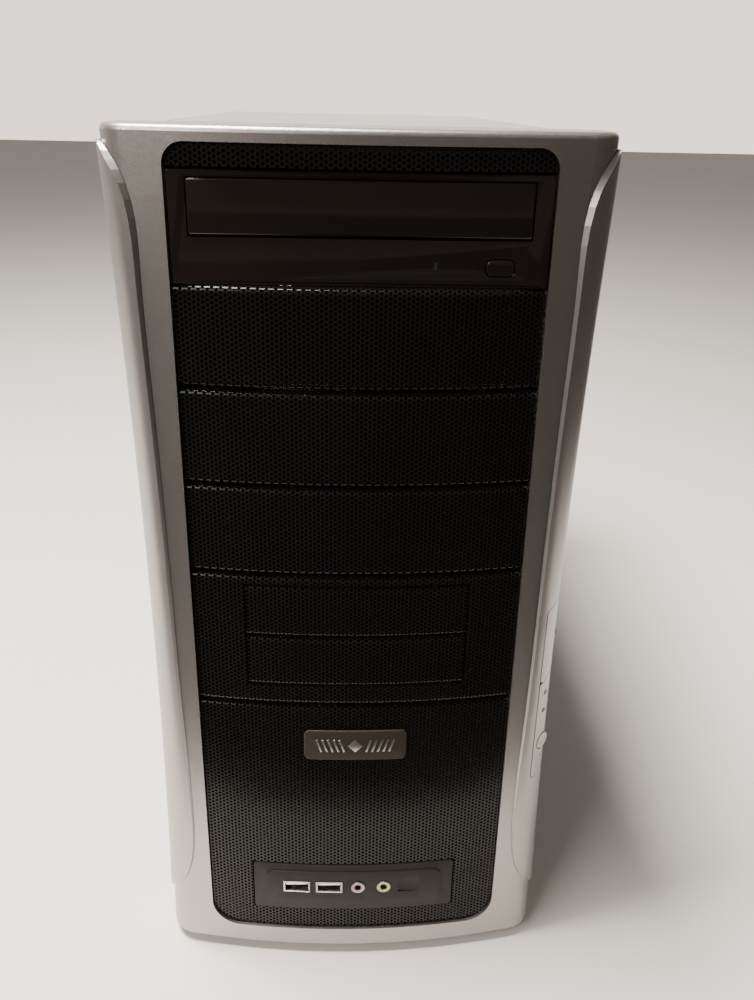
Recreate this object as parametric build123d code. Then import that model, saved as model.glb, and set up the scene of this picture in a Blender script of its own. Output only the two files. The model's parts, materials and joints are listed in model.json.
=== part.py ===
from build123d import *
import math
import os

# Desktop computer tower: a sheet steel ATX chassis behind a bowed, silver-painted bezel.
# The front faces -Y, +Z is up and the origin is on the floor under the middle of the whole tower.
# All sizes are in millimetres. Every sub-part is written to parts/NODE.step.

# ---- driving sizes -------------------------------------------------------------------------
overall_height = 420.0
overall_depth = 480.0
chassis_width = 190.0
foot_height = 10.0
foot_radius = 12.0
foot_inset = (18.0, 34.0)    # from the chassis sides, and from its front and back
fit_gap = 0.4                # between moulded pieces that meet
slide_gap = 0.3              # between pieces that slide past each other
running_gap = 0.05           # between a shaft and its bearing

# bezel: bowed across the front and waisted between top and bottom
bezel_depth = 46.0
bezel_ground_gap = 5.0
bezel_half_top = 101.3
bezel_half_waist = 95.8
waist_height = 195.0
bezel_steps = 16             # straight bands that follow the waist
bow_radius = 430.0
bezel_corner_radius = 15.0
bezel_wall = 2.6
bezel_edge_fillet = 2.4
window_top_margin = 5.8
window_bottom_margin = 12.6
window_top_radius = 8.5
window_bottom_radius = 14.5

# side trims that stand proud of the bezel's flanks, with a sloping shoulder
trim_proud_top = 2.2
trim_proud_bottom = 0.9
trim_side_proud = 1.8
trim_seat_gap = 0.22         # between the trim and the bezel it sits on
# heights are up from the floor in the lower rows and down from the top in the upper ones,
# then the crest's distance in from the bezel's side, and the width of the shoulder
trim_ridge_upper = (
    (6.4, -0.3, 1.2),
    (12.0, 2.5, 3.2),
    (19.0, 6.5, 2.8),
    (31.0, 9.6, 2.3),
    (55.0, 10.0, 1.8),
    (108.0, 9.6, 1.5),
)
trim_ridge_lower = (
    (235.0, 9.8, 1.3),
    (150.0, 11.1, 1.1),
    (88.0, 13.6, 0.8),
    (61.0, 12.4, 0.7),
    (45.0, 7.1, 0.7),
    (37.0, 1.4, 0.6),
    (34.0, -0.3, 0.5),
)

trim_steps = 44

# black front: set in from the bezel, in curved mesh sections
front_set_in = 1.6
mesh_tray_depth = 8.0
mesh_skin = 1.1
mesh_wall = 2.0
mesh_edge_radius = 2.4
section_gap = 1.4
top_strip_height = 9.4
bay_pitch = 43.0
bay_count = 4
small_panel_height = 70.0
small_bay_pitch = 27.0
small_cover_half = 50.8
small_cover_drop = 5.5       # from the panel's top to the covers' top
filter_thickness = 3.0

# blank badge
badge_size = (50.0, 17.4)
badge_proud = 1.2
badge_drop = 13.9
badge_radius = 3.0

# front port panel
port_panel_size = (105.0, 30.4)
port_panel_thickness = 6.0
port_panel_proud = 0.6
port_panel_rise = 14.0       # above the window's lower edge
port_panel_radius = 1.5
port_plateau_size = (93.0, 19.5)
port_plateau_height = 0.9
port_line_rise = 16.4        # ports above the panel's lower edge
usb_outer = (13.1, 5.9)
usb_wall = 0.4
usb_depth = 14.0
usb_places = (-30.0, -12.9)
usb_tongue = (11.2, 1.8)
jack_places = (2.3, 15.9)
jack_names = ("headphone_jack", "microphone_jack")
jack_bore_radius = 1.8
jack_ring_radius = 2.9
jack_depth = 14.0
blank_port_place = 30.0
blank_port_size = (12.6, 8.6)
blank_port_depth = 0.5

# controls on the right flank, pressed in along the corner's diagonal
control_front = 70.5         # along the diagonal face, from the nose's line
control_back = 89.0
control_slope = 0.55
button_low, button_high = 169.0, 210.0
plate_low = 111.0
control_gap = 0.5
button_travel = 2.0
reset_travel = 1.2
reset_radius = 4.6
reset_height = 132.5
reset_place = 77.0
led_radius = 1.3
led_heights = (162.5, 152.0)
led_place = 75.4
control_proud = 0.4
switch_board_out = 40.0      # along the diagonal
switch_size = (6.0, 1.4)     # side and height

# optical drive
drive_front_set_in = 7.4
drive_bezel_size = (149.0, 42.0)
drive_bezel_thickness = 4.0
drive_body_size = (146.0, 41.2)
drive_body_length = 166.0
drive_wall = 0.8
drive_side_gap = 1.1         # between the drive's bezel and the window's side
tray_front_size = (134.4, 21.6)
tray_front_drop = 2.9
tray_front_thickness = 3.6
tray_lip = 1.5
tray_size = (128.0, 150.0, 5.0)
tray_travel = 140.0
disc_radius = 60.5
disc_recess = 1.6
eject_place = (55.4, 6.8)    # from the drive's middle and from its lower edge
eject_size = (11.2, 6.4)
eject_travel = 1.5
drive_light_place = (29.5, 7.2)
drive_light_size = (1.4, 3.0)

# sheet steel chassis
sheet = 0.8
flange = 12.0
panel_travel = 20.0
cage_length = 150.0
cage_gap = 0.3
disk_cage_low = 70.0

# power supply, cooling and boards, all to the usual standard sizes
psu_size = (150.0, 140.0, 86.0)
psu_offset = -8.0
psu_fan_size = 80.0
psu_fan_offset = -30.0
psu_inlet_size = (27.0, 20.0)
psu_socket_offset = 42.0
psu_switch_size = (13.0, 19.0)
psu_switch_angle = 12.0
rear_fan_size = 92.0
rear_fan_offset = -32.0
fan_depth = 25.0
fan_blades = 7
shaft_radius = 1.6
board_size = (243.8, 304.8)
board_thickness = 1.6
board_low = 20.0
tray_plane = 80.0
standoff_height = 6.5
standoff_radius = 3.0
slot_pitch = 20.32
slot_count = 7
first_slot_height = 31.0
slot_window = (96.0, 12.8)
bracket_size = (116.0, 18.4, 0.9)
card_slot = 6                # counted from the lowest, starting at nought
card_size = (105.0, 170.0)
io_window_size = (44.5, 158.8)
cooler_size = 70.0
cooler_base = 10.0
cooler_fin_height = 28.0
cooler_fin_count = 12
cooler_fin = 1.2
cooler_fan_depth = 15.0
cooler_drop = 74.0           # below the board's upper edge
cooler_ahead = 84.0          # ahead of the board's rear edge
memory_size = (133.35, 30.0, 1.4)
disk_size = (101.6, 147.0, 26.1)
disk_rise = 26.0
thumbscrew_radius = 6.0
thumbscrew_height = 8.0
screw_radius = 1.75
vent_radius = 2.5
vent_pitch = 6.6

# ---- places worked out from the sizes --------------------------------------------------------
nose = -overall_depth / 2
panel_lip_back = overall_depth / 2 - thumbscrew_height
rear_face = panel_lip_back - sheet - slide_gap    # outer face of the rear wall
chassis_front = nose + bezel_depth                # outer face of the front wall
top = overall_height
chassis_top = top - 2.0
chassis_low = foot_height
half = chassis_width / 2
inner_half = half - sheet - slide_gap             # outside of what the side panels cover
floor = chassis_low + sheet
ceiling = chassis_top - sheet
window_top = top - window_top_margin
window_low = bezel_ground_gap + window_bottom_margin
bay_top = window_top - top_strip_height
bays_low = bay_top - bay_count * bay_pitch
small_panel_low = bays_low - small_panel_height
window_half = drive_bezel_size[0] / 2 + drive_side_gap
section_half = window_half - fit_gap
mesh_face = nose + front_set_in                   # foremost line of the mesh
drive_front = nose + drive_front_set_in
drive_low = bay_top - (bay_pitch + drive_bezel_size[1]) / 2
drive_body_low = drive_low + (drive_bezel_size[1] - drive_body_size[1]) / 2
port_low = window_low + port_panel_rise
port_line = port_low + port_line_rise
psu_low = ceiling - psu_size[2]
psu_front = rear_face - sheet - psu_size[1]
board_back = rear_face - sheet - 1.0
board_high = board_low + board_size[1]
board_face = tray_plane - standoff_height - board_thickness
card_height = first_slot_height + card_slot * slot_pitch
cooler_place = (board_back - cooler_ahead, board_high - cooler_drop)
corner_plane = Plane(origin=(0, nose, 0), x_dir=(1, 1, 0), z_dir=(1, -1, 0))
parts = {}
frames = []                                       # fan frames, filed together


# ---- small helpers ---------------------------------------------------------------------------
def block(x, y, z):
    """A box from three (low, high) pairs."""
    size = [high - low for low, high in (x, y, z)]
    middle = [(low + high) / 2 for low, high in (x, y, z)]
    return Pos(*middle) * Box(*size)


def about(middle, width):
    return (middle - width / 2, middle + width / 2)


def rod(start, end, radius):
    """A cylinder from one point to another."""
    axis = Vector(*end) - Vector(*start)
    return Plane(origin=start, z_dir=axis) * extrude(Circle(radius), axis.length)


def slab(outline, y_low, y_high):
    """A sketch drawn in front view, x across and z up, given depth between two y values."""
    plane = Plane(origin=(0, y_high, 0), x_dir=(1, 0, 0), z_dir=(0, -1, 0))
    return plane * extrude(outline, y_high - y_low)


def side_slab(outline, x_low, x_high):
    """A sketch drawn in side view, y across and z up, given depth between two x values."""
    plane = Plane(origin=(x_low, 0, 0), x_dir=(0, 1, 0), z_dir=(1, 0, 0))
    return plane * extrude(outline, x_high - x_low)


def rect(x, z):
    """A rectangle from two (low, high) pairs."""
    return Pos(sum(x) / 2, sum(z) / 2) * Rectangle(x[1] - x[0], z[1] - z[0])


def rounded(x, z, radius):
    return Pos(sum(x) / 2, sum(z) / 2) * RectangleRounded(x[1] - x[0], z[1] - z[0], radius)


def vents(x, z, radius):
    """A round field of holes, their rows staggered."""
    field = []
    rows = int(radius / (vent_pitch * 0.866))
    for row in range(-rows, rows + 1):
        across = math.sqrt(radius**2 - (row * vent_pitch * 0.866) ** 2)
        shift = vent_pitch / 2 if row % 2 else 0.0
        count = int(across / vent_pitch)
        places = [shift + i * vent_pitch for i in range(-count, count + 1)]
        field += [(x + place, z + row * vent_pitch * 0.866) for place in places if abs(place) <= across]
    return Sketch() + [Pos(*place) * Circle(vent_radius) for place in field]


def mirrored(shape):
    return mirror(shape, about=Plane.YZ)


def keep(name, *shapes):
    """Files separate solids under one node."""
    solids = [solid for shape in shapes for solid in shape.solids()]
    parts[name] = Compound(children=solids) if len(solids) > 1 else solids[0]


# ---- the bowed front -------------------------------------------------------------------------
def bow(x):
    """How far the front lies behind its foremost line at a distance x from the middle."""
    return bow_radius - math.sqrt(bow_radius**2 - x**2)


def corner(half_width, radius):
    """Centre of the rounded corner, behind the foremost line, and the angle where it begins."""
    centre_x = half_width - radius
    reach = bow_radius - radius
    return centre_x, bow_radius - math.sqrt(reach**2 - centre_x**2), math.asin(centre_x / reach)


def outline_at(x, half_width, radius):
    """Set-back of the bow and its rounded corner at x."""
    centre_x, centre_y, start = corner(half_width, radius)
    if x <= bow_radius * math.sin(start):
        return bow(x)
    return centre_y - math.sqrt(max(radius**2 - (x - centre_x) ** 2, 0.0))


def plan(half_width, y, y_back, radius):
    """Horizontal face behind the bowed line, with rounded front corners."""
    centre_x, centre_y, start = corner(half_width, radius)
    tangent = (bow_radius * math.sin(start), y + bow_radius * (1 - math.cos(start)))
    halfway = (start + math.pi / 2) / 2
    middle = (centre_x + radius * math.sin(halfway), y + centre_y - radius * math.cos(halfway))
    end = (half_width, y + centre_y)

    def flip(point):
        return (-point[0], point[1])

    return make_face(
        [
            ThreePointArc(flip(end), flip(middle), flip(tangent)),
            ThreePointArc(flip(tangent), (0, y), tangent),
            ThreePointArc(tangent, middle, end),
            Polyline(end, (half_width, y_back), (-half_width, y_back), flip(end)),
        ]
    )


def bowed(half_width, y, y_back, z_low, z_high):
    """A block with a bowed front and square sides."""
    front = ThreePointArc((-half_width, y + bow(half_width)), (0, y), (half_width, y + bow(half_width)))
    rest = Polyline(front @ 1, (half_width, y_back), (-half_width, y_back), front @ 0)
    return extrude(Pos(0, 0, z_low) * make_face([front, rest]), z_high - z_low)


def bezel_half(z):
    """Half the bezel's width at a height: widest at both ends, waisted between them."""
    reach = (z - waist_height) / (top - waist_height)
    return bezel_half_waist + (bezel_half_top - bezel_half_waist) * reach**2


def bezel_body(z_low, z_high, set_in, y_back):
    """The bezel's waisted outside, moved in by set_in all round."""
    heights = [z_low + (z_high - z_low) * i / bezel_steps for i in range(bezel_steps + 1)]
    radius = bezel_corner_radius - set_in
    faces = [Pos(0, 0, z) * plan(bezel_half(z) - set_in, nose + set_in, y_back, radius) for z in heights]
    return loft(faces, ruled=True)


def window(grow=0.0):
    """The bezel's opening in front view."""
    high, low, side = window_top + grow, window_low - grow, window_half + grow
    outline = Pos(0, (high + low) / 2) * Rectangle(2 * side, high - low)
    outline = fillet(outline.vertices().sort_by(Axis.Y)[2:], window_top_radius + grow)
    return fillet(outline.vertices().sort_by(Axis.Y)[:2], window_bottom_radius + grow)


def bezel():
    outside = bezel_body(bezel_ground_gap, top, 0.0, chassis_front)
    ends = outside.faces().sort_by(Axis.Z)
    rim = [edge for face in (ends[0], ends[-1]) for edge in face.edges()]
    outside = fillet([edge for edge in rim if edge.center().Y < chassis_front - 1], bezel_edge_fillet)
    inside = bezel_body(bezel_ground_gap + bezel_wall, top - bezel_wall, bezel_wall, chassis_front + 1)
    lip_back = mesh_face + bow(window_half) + mesh_tray_depth
    lip = slab(window(bezel_wall) - window(), nose - 1, lip_back) & outside
    shell = outside - inside - slab(window(), nose - 1, chassis_front + 1) + lip
    return shell


# ---- side trims and controls -----------------------------------------------------------------
def trim_proud(z):
    share = (z - bezel_ground_gap) / (top - bezel_ground_gap)
    return trim_proud_bottom + (trim_proud_top - trim_proud_bottom) * share


def flank_line(z, start, proud, side_proud):
    """Curve from a place on the front, round the corner to the flank, standing off the bezel."""
    side = bezel_half(z) + side_proud
    radius = bezel_corner_radius + side_proud
    places = [start + (side - start) * math.sin(math.radians(angle)) for angle in range(0, 91, 5)]
    return Spline(*[(x, nose - proud + outline_at(x, side, radius)) for x in places])


def trim_section(row):
    """Horizontal face of the trim: a thin skin that hugs the bezel, with a sloping shoulder."""
    z, crest, shoulder = row
    outer = flank_line(z, crest, trim_proud(z), trim_side_proud)
    inner = flank_line(z, crest - shoulder, trim_seat_gap, trim_seat_gap)
    ends = outer @ 1, inner @ 1
    rest = Polyline(ends[0], (ends[0].X, chassis_front), (ends[1].X, chassis_front), ends[1])
    return Pos(0, 0, z) * make_face([outer, rest, inner, Line(inner @ 0, outer @ 0)])


def control_section(row):
    """The same outside, solid back to a chord inside the bezel."""
    z, crest, _ = row
    outer = flank_line(z, crest, trim_proud(z), trim_side_proud)
    side = (outer @ 1).X
    rest = Polyline(outer @ 1, (side, chassis_front), (side - 4, chassis_front), (crest, nose + 14), outer @ 0)
    return Pos(0, 0, z) * make_face([outer, rest])


def ridge_rows():
    """Places along the trim's ridge, a smooth line through the stated ones, closest at its ends."""
    places = [(top - drop, inset, shoulder) for drop, inset, shoulder in trim_ridge_upper] + list(trim_ridge_lower)
    ridge = Spline(*[(z, bezel_half(z) - inset, shoulder) for z, inset, shoulder in reversed(places)])
    rows = [ridge @ ((1 - math.cos(math.pi * step / trim_steps)) / 2) for step in range(trim_steps + 1)]
    return [(row.X, row.Y, row.Z) for row in rows]


def control_outline(low, high, grow=0.0):
    """A sloping panel's outline, its heights given at its front edge."""
    start, end = control_front - grow, control_back + grow
    rise = control_slope * (end - start)
    lower, upper = low - control_slope * grow - grow, high - control_slope * grow + grow
    return make_face(Polyline((start, lower), (end, lower + rise), (end, upper + rise), (start, upper), close=True))


def control_prism(low, high, grow=0.0):
    """That outline run in through the corner."""
    outline = fillet(control_outline(low, high, grow).vertices(), 1.5 + grow)
    return corner_plane.offset(40) * extrude(outline, 40)


def control_surface(place, z):
    """Distance out along the diagonal at which the trim's surface lies."""
    radius = bezel_corner_radius + trim_side_proud
    centre_x, centre_y, _ = corner(bezel_half(z) + trim_side_proud, radius)
    along = (centre_x + centre_y - trim_proud(z)) / math.sqrt(2)
    out = (centre_x - centre_y + trim_proud(z)) / math.sqrt(2)
    return out + math.sqrt(radius**2 - (place - along) ** 2)


def control_rod(place, z, inner, outer, radius):
    """A round piece that stands along the diagonal."""
    return corner_plane.offset(inner) * Pos(place, z) * extrude(Circle(radius), outer - inner)


def status_lights():
    """Two round lenses in the control plate."""
    tops = [(z, control_surface(led_place, z) + control_proud / 2) for z in led_heights]
    return [control_rod(led_place, z, out - 6, out, led_radius) for z, out in tops]


def build_bezel_and_controls():
    rows = ridge_rows()
    trim = loft([trim_section(row) for row in rows], ruled=True)
    flank = loft([control_section(row) for row in rows], ruled=True)
    opening = control_prism(plate_low, button_high, control_gap)
    keep("front_bezel", bezel() - opening)
    keep("left_side_trim", mirrored(trim))
    keep("right_side_trim", trim - opening)
    button = flank & control_prism(button_low, button_high)
    plate = flank & control_prism(plate_low, button_low - control_gap)
    reset_top = control_surface(reset_place, reset_height) + control_proud
    plate -= control_rod(reset_place, reset_height, 20, 80, reset_radius + slide_gap)
    for z in led_heights:
        plate -= control_rod(led_place, z, 20, 80, led_radius + running_gap)
    keep("power_button", button)
    keep("control_plate", plate)
    reset = control_rod(reset_place, reset_height, reset_top - 11, reset_top, reset_radius)
    keep("reset_button", fillet(reset.edges().filter_by(GeomType.CIRCLE).sort_by(Axis.X)[-1], 0.6))


def switch_board():
    """Board on edge behind the two buttons, with a switch for each."""
    outline = rect((control_front, control_back - 6), (reset_height - 12, button_high - 4))
    board = corner_plane.offset(switch_board_out - board_thickness) * extrude(outline, board_thickness)
    for z in (reset_height, (button_low + button_high) / 2 + 5):
        switch = extrude(Rectangle(switch_size[0], switch_size[0]), switch_size[1])
        board += corner_plane.offset(switch_board_out) * Pos(reset_place, z) * switch
    return board


# ---- black mesh front ------------------------------------------------------------------------
def mesh_section(half_width, z_low, z_high):
    """A curved mesh tray, its front edges rolled back at top and bottom."""
    y_back = mesh_face + bow(window_half) + mesh_tray_depth
    tray = bowed(half_width, mesh_face, y_back, z_low, z_high)
    rolled = [e for e in tray.edges() if e.geom_type == GeomType.CIRCLE]
    tray = fillet(rolled, mesh_edge_radius)
    hollow = bowed(
        half_width - mesh_wall, mesh_face + mesh_skin, y_back + 1, z_low + mesh_wall, z_high - mesh_wall
    )
    return tray - hollow


def filter_pad(half_width, z_low, z_high):
    """A foam pad against the back of a mesh section."""
    inset = mesh_wall + fit_gap
    face = mesh_face + mesh_skin
    pad = bowed(half_width - inset, face, face + filter_thickness + 30, z_low + inset, z_high - inset)
    return pad - bowed(half_width, face + filter_thickness, face + 60, z_low, z_high)


def build_mesh_front():
    gap = section_gap / 2
    frame_outline = window(-fit_gap)
    whole = slab(frame_outline, nose - 1, chassis_front)
    pads = []
    strip = mesh_section(section_half, bay_top + gap, window_top - fit_gap) & whole
    keep("top_mesh_strip", strip)
    pad_outline = slab(window(-fit_gap - mesh_wall), nose - 1, chassis_front)
    pads.append(filter_pad(section_half, bay_top + gap, window_top - fit_gap) & pad_outline)
    for number in range(1, bay_count):
        z_low = bay_top - (number + 1) * bay_pitch + gap
        z_high = bay_top - number * bay_pitch - gap
        keep(f"bay_cover_{number}", mesh_section(section_half, z_low, z_high))
        pads.append(filter_pad(section_half, z_low, z_high))
    # panel with two small covers in it
    z_low, z_high = small_panel_low + gap, bays_low - gap
    covers_top = bays_low - small_cover_drop
    covers_low = covers_top - 2 * small_bay_pitch
    hole = slab(
        rounded((-small_cover_half - gap, small_cover_half + gap), (covers_low - gap, covers_top + gap), 1.5),
        nose - 1, chassis_front,
    )
    keep("small_bay_panel", mesh_section(section_half, z_low, z_high) - hole)
    pads.append(filter_pad(section_half, z_low, z_high) - hole)
    for number in range(2):
        z_high = covers_top - number * small_bay_pitch
        z_low = z_high - small_bay_pitch + gap
        keep(f"small_bay_cover_{number + 1}", mesh_section(small_cover_half, z_low, z_high))
        pads.append(filter_pad(small_cover_half, z_low, z_high))
    # lower fascia, opened for the port panel
    z_low, z_high = window_low + fit_gap, small_panel_low - gap
    fascia = mesh_section(section_half, z_low, z_high) & whole
    width, height = port_panel_size
    port_hole = slab(
        rounded((-width / 2 - gap, width / 2 + gap), (port_low - gap, port_low + height + gap), 2.0),
        nose - 1, chassis_front,
    )
    keep("lower_mesh_fascia", fascia - port_hole)
    pads.append((filter_pad(section_half, z_low, z_high) & pad_outline) - port_hole)
    keep("foam_filters", *pads)
    # blank badge stuck on the mesh
    badge_high = small_panel_low - badge_drop
    outline = rounded(about(0, badge_size[0]), (badge_high - badge_size[1], badge_high), badge_radius)
    plate = bowed(window_half, mesh_face - badge_proud, nose + 30, badge_high - 40, badge_high)
    plate = plate - bowed(window_half, mesh_face, nose + 40, badge_high - 50, badge_high + 10)
    keep("badge_plate", plate & slab(outline, nose - 5, nose + 20))


# ---- port panel ------------------------------------------------------------------------------
def build_port_panel():
    width, height = port_panel_size
    face = mesh_face - port_panel_proud
    body = bowed(width / 2, face, face + bow(width / 2) + port_panel_thickness, port_low, port_low + height)
    body = body & slab(rounded(about(0, width), (port_low, port_low + height), port_panel_radius), nose - 5, nose + 40)
    inner = bowed(width / 2 - 2, face + 2, nose + 40, port_low + 2, port_low + height - 2)
    plateau_z = about(port_line, port_plateau_size[1])
    plateau = bowed(port_plateau_size[0] / 2, face - port_plateau_height, nose + 8, *plateau_z)
    plateau = plateau - bowed(width, face + 1, nose + 60, port_low - 5, port_low + height + 5)
    plateau = plateau & slab(rounded(about(0, port_plateau_size[0]), plateau_z, 5.0), nose - 5, nose + 40)
    panel = body - inner + plateau
    surface = face - port_plateau_height
    shells, tongues = [], []
    wide, high = usb_outer
    for x in usb_places:
        front = surface + bow(x) - 0.1
        around_x, around_z = about(x, wide), about(port_line, high)
        grown = rect(about(x, wide + 2 * running_gap), about(port_line, high + 2 * running_gap))
        panel -= slab(grown, nose - 5, nose + 40)
        shell = slab(rect(around_x, around_z), front, front + usb_depth)
        bore = slab(rect(about(x, wide - 2 * usb_wall), about(port_line, high - 2 * usb_wall)), front - 1, front + usb_depth - 1)
        shells.append(shell - bore)
        tongue_z = about(port_line + 0.9, usb_tongue[1])
        tongues.append(slab(rect(about(x, usb_tongue[0]), tongue_z), front + 1.5, front + usb_depth - 1))
    for name, x in zip(jack_names, jack_places):
        front = surface + bow(x) - 0.4
        panel -= rod((x, nose - 5, port_line), (x, nose + 40, port_line), jack_ring_radius + running_gap)
        jack = rod((x, front, port_line), (x, front + jack_depth, port_line), jack_ring_radius)
        jack -= rod((x, front - 1, port_line), (x, front + jack_depth - 1, port_line), jack_bore_radius)
        keep(name, jack)
    # a port shape left blank, sunk into the plateau
    left, right = about(blank_port_place, blank_port_size[0])
    low, high_edge = about(port_line, blank_port_size[1])
    outline = make_face(
        Polyline((left, low), (right - 4, low), (right, port_line), (right - 4, high_edge), (left, high_edge), close=True)
    )
    sunk = slab(outline, nose - 5, surface + bow(blank_port_place) + blank_port_depth)
    keep("port_panel", panel - sunk)
    keep("usb_sockets", *shells, *tongues)
    back = surface + bow(usb_places[0]) + usb_depth
    port_board = block(about(0, port_plateau_size[0] - 8), (back, back + board_thickness), about(port_line, 22))
    keep("front_circuit_boards", port_board, switch_board())


# ---- optical drive ---------------------------------------------------------------------------
def build_drive():
    wide, high = drive_bezel_size
    drive_top = drive_low + high
    bezel_back = drive_front + drive_bezel_thickness
    tray_z = (drive_top - tray_front_drop - tray_front_size[1], drive_top - tray_front_drop)
    eject_z = drive_low + eject_place[1]
    light_z = drive_low + drive_light_place[1]
    eject_outline = rounded(about(eject_place[0], eject_size[0]), about(eject_z, eject_size[1]), 2.4)
    eject_hole = rounded(
        about(eject_place[0], eject_size[0] + 2 * slide_gap), about(eject_z, eject_size[1] + 2 * slide_gap), 2.7
    )
    light_outline = rect(about(drive_light_place[0], drive_light_size[0]), about(light_z, drive_light_size[1]))
    front = slab(rounded(about(0, wide), (drive_low, drive_top), 1.0), drive_front, bezel_back)
    tray_hole = rect(about(0, tray_front_size[0] + 2 * slide_gap), (tray_z[0] - slide_gap, tray_z[1] + slide_gap))
    front -= slab(tray_hole, drive_front - 1, bezel_back + 1)
    front -= slab(eject_hole, drive_front - 1, bezel_back + 1)
    front -= slab(light_outline, drive_front - 1, bezel_back + 1)
    keep("drive_bezel", front)
    door = slab(rect(about(0, tray_front_size[0]), tray_z), drive_front - 0.6, drive_front + tray_front_thickness)
    door = chamfer(door.edges().filter_by(Axis.X).group_by(Axis.Y)[0].sort_by(Axis.Z)[0], tray_lip)
    keep("drive_tray_front", door)
    keep("eject_button", fillet(
        slab(eject_outline, drive_front - 0.5, bezel_back + 2).faces().sort_by(Axis.Y)[0].edges(), 0.5
    ))
    keep("indicator_lights", slab(light_outline, drive_front, bezel_back), *status_lights())
    # case, open at the front behind its bezel
    body_wide, body_high = drive_body_size
    y = (bezel_back, bezel_back + drive_body_length)
    z = (drive_body_low, drive_body_low + body_high)
    case = block(about(0, body_wide), y, z)
    case -= block(
        about(0, body_wide - 2 * drive_wall), (y[0] - 1, y[1] - drive_wall), (z[0] + drive_wall, z[1] - drive_wall)
    )
    keep("drive_case", case)
    # tray with its disc recess
    tray_low = tray_z[0] + 4
    start = drive_front + tray_front_thickness
    tray = block(about(0, tray_size[0]), (start, start + tray_size[1]), (tray_low, tray_low + tray_size[2]))
    centre_y = start + tray_size[1] / 2 + 6
    disc = Pos(0, centre_y, tray_low + tray_size[2]) * Cylinder(disc_radius, 2 * disc_recess)
    slot = block(about(0, 34), (centre_y, start + tray_size[1] + 1), (tray_low - 1, tray_low + tray_size[2] + 1))
    keep("drive_tray", tray - disc - slot)
    # laser, motor and electronics below the tray
    mechanism = block(about(0, 120), (y[0] + 20, y[1] - 10), (z[0] + drive_wall, tray_low - 2))
    keep("drive_mechanism", mechanism)


# ---- sheet steel chassis ---------------------------------------------------------------------
def pan(z_plate, z_flange):
    """Floor or roof plate with a flange along each side."""
    y = (chassis_front + sheet, rear_face - sheet)
    plate = block((-inner_half, inner_half), y, z_plate)
    ends = (y[0] + flange, y[1] - flange)
    for side in (-1, 1):
        x = sorted((side * inner_half, side * (inner_half - sheet)))
        plate += block(x, ends, z_flange)
    return plate


def end_wall(outline, y_plate, y_flange):
    """Front or rear wall with a flange along each side."""
    wall = slab(outline, *y_plate)
    for side in (-1, 1):
        x = sorted((side * inner_half, side * (inner_half - sheet)))
        wall += block(x, y_flange, (floor, ceiling))
    return wall


def front_wall_outline():
    outline = rect((-inner_half, inner_half), (chassis_low, chassis_top))
    outline -= rect((-window_half - fit_gap, window_half + fit_gap), (bays_low, bay_top))
    covers_top = bays_low - small_cover_drop
    outline -= rect((-small_cover_half - 1, small_cover_half + 1), (covers_top - 2 * small_bay_pitch, covers_top))
    outline -= rect(about(0, port_panel_size[0] - 6), (port_low, port_low + port_panel_size[1]))
    outline -= vents(0, (port_low + port_panel_size[1] + small_panel_low) / 2, 42)
    return outline


def thumbscrew_places():
    return [(half - flange / 2 - 0.6, z) for z in (chassis_low + 60, chassis_top - 60)]


def rear_ports():
    """Width across, height, and radius of the hole in each port on the board, from the top down."""
    return ((26.0, 13.0), (12.5, 31.0), (30.0, 16.0), (15.0, 15.0), (34.0, 12.0))


def port_rows():
    z = board_high - 8
    rows = []
    for wide, high in rear_ports():
        rows.append(((board_face - 2 - wide, board_face - 2), (z - high, z)))
        z -= high + 8
    return rows


def io_window():
    x = (board_face - 1 - io_window_size[0], board_face - 1)
    return rect(x, (board_high - 2 - io_window_size[1], board_high - 2))


def rear_fan_place():
    return rear_fan_offset, psu_low - rear_fan_size / 2 - 6


def rear_wall_outline():
    outline = rect((-inner_half, inner_half), (chassis_low, chassis_top))
    outline -= rect(about(psu_offset, psu_size[0] - 10), (psu_low + 5, ceiling - 5))
    outline -= io_window()
    for number in range(slot_count):
        z = first_slot_height + number * slot_pitch
        outline -= rect((slot_right() - slot_window[0], slot_right()), about(z, slot_window[1]))
    x, z = rear_fan_place()
    outline -= vents(x, z, rear_fan_size / 2 - 6)
    for x, z in thumbscrew_places():
        for side in (-1, 1):
            outline -= Pos(side * x, z) * Circle(screw_radius + slide_gap)
    return outline


def slot_right():
    return board_face - 12


def side_panel(side, vented):
    """Outer sheet with a flange turned in across the back."""
    outline = rect((chassis_front + slide_gap, panel_lip_back), (chassis_low, chassis_top))
    if vented:
        outline -= vents(cooler_place[0], cooler_place[1], 40)
        outline -= vents(board_back - 60, card_height - 20, 40)
    x = sorted((side * half, side * (half - sheet)))
    sheet_part = side_slab(outline, *x)
    lip = block(
        sorted((side * half, side * (half - flange))),
        (panel_lip_back - sheet, panel_lip_back),
        (chassis_low, chassis_top),
    )
    for place, z in thumbscrew_places():
        lip -= rod((side * place, rear_face - 5, z), (side * place, rear_face + 5, z), screw_radius + running_gap)
    return sheet_part + lip


def thumbscrew(x, z):
    end = panel_lip_back + thumbscrew_height
    head = rod((x, panel_lip_back, z), (x, end, z), thumbscrew_radius)
    head = chamfer(head.edges().filter_by(GeomType.CIRCLE), 0.8)
    return head + rod((x, panel_lip_back - 8, z), (x, panel_lip_back, z), screw_radius)


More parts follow.
